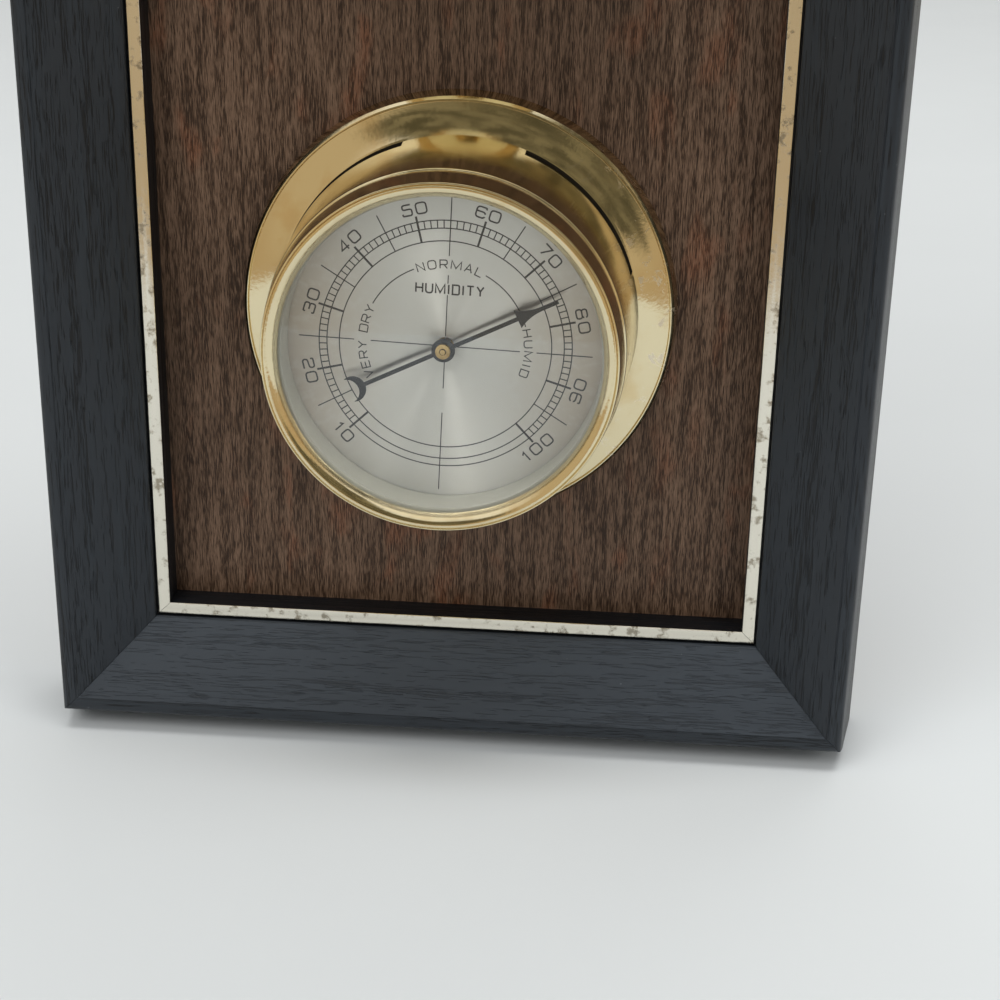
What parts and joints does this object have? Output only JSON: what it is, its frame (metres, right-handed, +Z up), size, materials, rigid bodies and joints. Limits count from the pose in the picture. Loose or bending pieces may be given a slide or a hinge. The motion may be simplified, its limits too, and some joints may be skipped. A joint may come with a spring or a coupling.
{
  "type": "weather station",
  "caption": "Wall-hung weather station: a black mitred oak frame and woodgrain panel with brass porthole thermometer, barometer and hygrometer with arrow pointers.",
  "frame": {"origin": "middle notch of the sawtooth hanger, on the back plane of the frame", "axes": "+Z up the wall, +X to the right seen from the front, the dials face -Y"},
  "size_m": [0.2, 0.0572, 0.4572],
  "materials": {
    "painted_oak": "black paint over open oak grain",
    "liner": "champagne anodised strip",
    "woodgrain_panel": "dark brown woodgrain",
    "steel": "zinc plated",
    "pad": "moulded",
    "polished_brass": "polished and lacquered, a little tarnished",
    "movement_brass": "plain milled",
    "lens_glass": "clear, slightly crowned",
    "brushed_dial": "straight brushed, printed black",
    "black_enamel": "satin black",
    "capsule_metal": "beryllium copper",
    "moisture_strip": "coated strip"
  },
  "bodies": {
    "station": {"frame_top_rail": "painted_oak", "frame_bottom_rail": "painted_oak", "frame_left_stile": "painted_oak", "frame_right_stile": "painted_oak", "trim_top": "liner", "trim_bottom": "liner", "trim_left": "liner", "trim_right": "liner", "wood_panel": "woodgrain_panel", "sawtooth_hanger": "steel", "bumper_left": "pad", "bumper_right": "pad", "panel_point_left_upper": "steel", "panel_point_left_lower": "steel", "panel_point_right_upper": "steel", "panel_point_right_lower": "steel", "thermometer_case": "polished_brass", "thermometer_bezel": "polished_brass", "thermometer_lens": "lens_glass", "thermometer_spacer_ring": "liner", "thermometer_dial_plate": "brushed_dial", "thermometer_back_plate": "movement_brass", "thermometer_screw_top": "steel", "thermometer_screw_bottom": "steel", "thermometer_coil": "capsule_metal", "thermometer_coil_anchor": "movement_brass", "thermometer_bridge": "movement_brass", "barometer_case": "polished_brass", "barometer_bezel": "polished_brass", "barometer_lens": "lens_glass", "barometer_spacer_ring": "liner", "barometer_dial_plate": "brushed_dial", "barometer_back_plate": "movement_brass", "barometer_screw_top": "steel", "barometer_screw_bottom": "steel", "barometer_capsule": "capsule_metal", "barometer_rear_plate": "movement_brass", "barometer_front_plate": "movement_brass", "barometer_hairspring": "steel", "hygrometer_case": "polished_brass", "hygrometer_bezel": "polished_brass", "hygrometer_lens": "lens_glass", "hygrometer_spacer_ring": "liner", "hygrometer_dial_plate": "brushed_dial", "hygrometer_back_plate": "movement_brass", "hygrometer_screw_top": "steel", "hygrometer_screw_bottom": "steel", "hygrometer_coil": "moisture_strip", "hygrometer_coil_anchor": "movement_brass", "hygrometer_bridge": "movement_brass"},
    "thermometer_movement": {"thermometer_arbor": "steel", "thermometer_pointer": "black_enamel"},
    "barometer_sector": {"barometer_sector_gear": "movement_brass"},
    "barometer_movement": {"barometer_arbor": "steel", "barometer_pointer": "black_enamel"},
    "barometer_rocker_shaft": {"barometer_rocker": "steel"},
    "barometer_setting": {"barometer_set_hand": "polished_brass", "barometer_set_knob": "polished_brass"},
    "hygrometer_movement": {"hygrometer_arbor": "steel", "hygrometer_pointer": "black_enamel"}
  },
  "joints": [
    {"name": "thermometer_pointer_turn", "type": "hinge", "parent": "station", "child": "thermometer_movement", "pos_m": [0, -0.043, -0.0941], "axis": [0, 1, 0], "range_deg": [-177, 123], "stiffness_Nm_per_rad": 0.0005},
    {"name": "barometer_sector_turn", "type": "hinge", "parent": "station", "child": "barometer_sector", "pos_m": [0.02383, -0.0286, -0.2126], "axis": [0, 1, 0], "range_deg": [-13, 22], "stiffness_Nm_per_rad": 0.05},
    {"name": "barometer_pointer_turn", "type": "hinge", "parent": "station", "child": "barometer_movement", "pos_m": [0, -0.043, -0.2176], "axis": [0, 1, 0], "range_deg": [-176, 104]},
    {"name": "barometer_rocker_turn", "type": "hinge", "parent": "station", "child": "barometer_rocker_shaft", "pos_m": [0, -0.0225, -0.2126], "axis": [1, 0, 0], "range_deg": [-6.5, 11]},
    {"name": "barometer_set_hand_turn", "type": "hinge", "parent": "station", "child": "barometer_setting", "pos_m": [0, -0.047, -0.2176], "axis": [0, 1, 0], "continuous": true},
    {"name": "hygrometer_pointer_turn", "type": "hinge", "parent": "station", "child": "hygrometer_movement", "pos_m": [0, -0.043, -0.3411], "axis": [0, 1, 0], "range_deg": [-202.1, 77.9], "stiffness_Nm_per_rad": 0.0005}
  ],
  "couplings": [
    {"joint": "barometer_pointer_turn", "follows": "barometer_sector_turn", "ratio": -8},
    {"joint": "barometer_rocker_turn", "follows": "barometer_sector_turn", "ratio": 0.5}
  ]
}
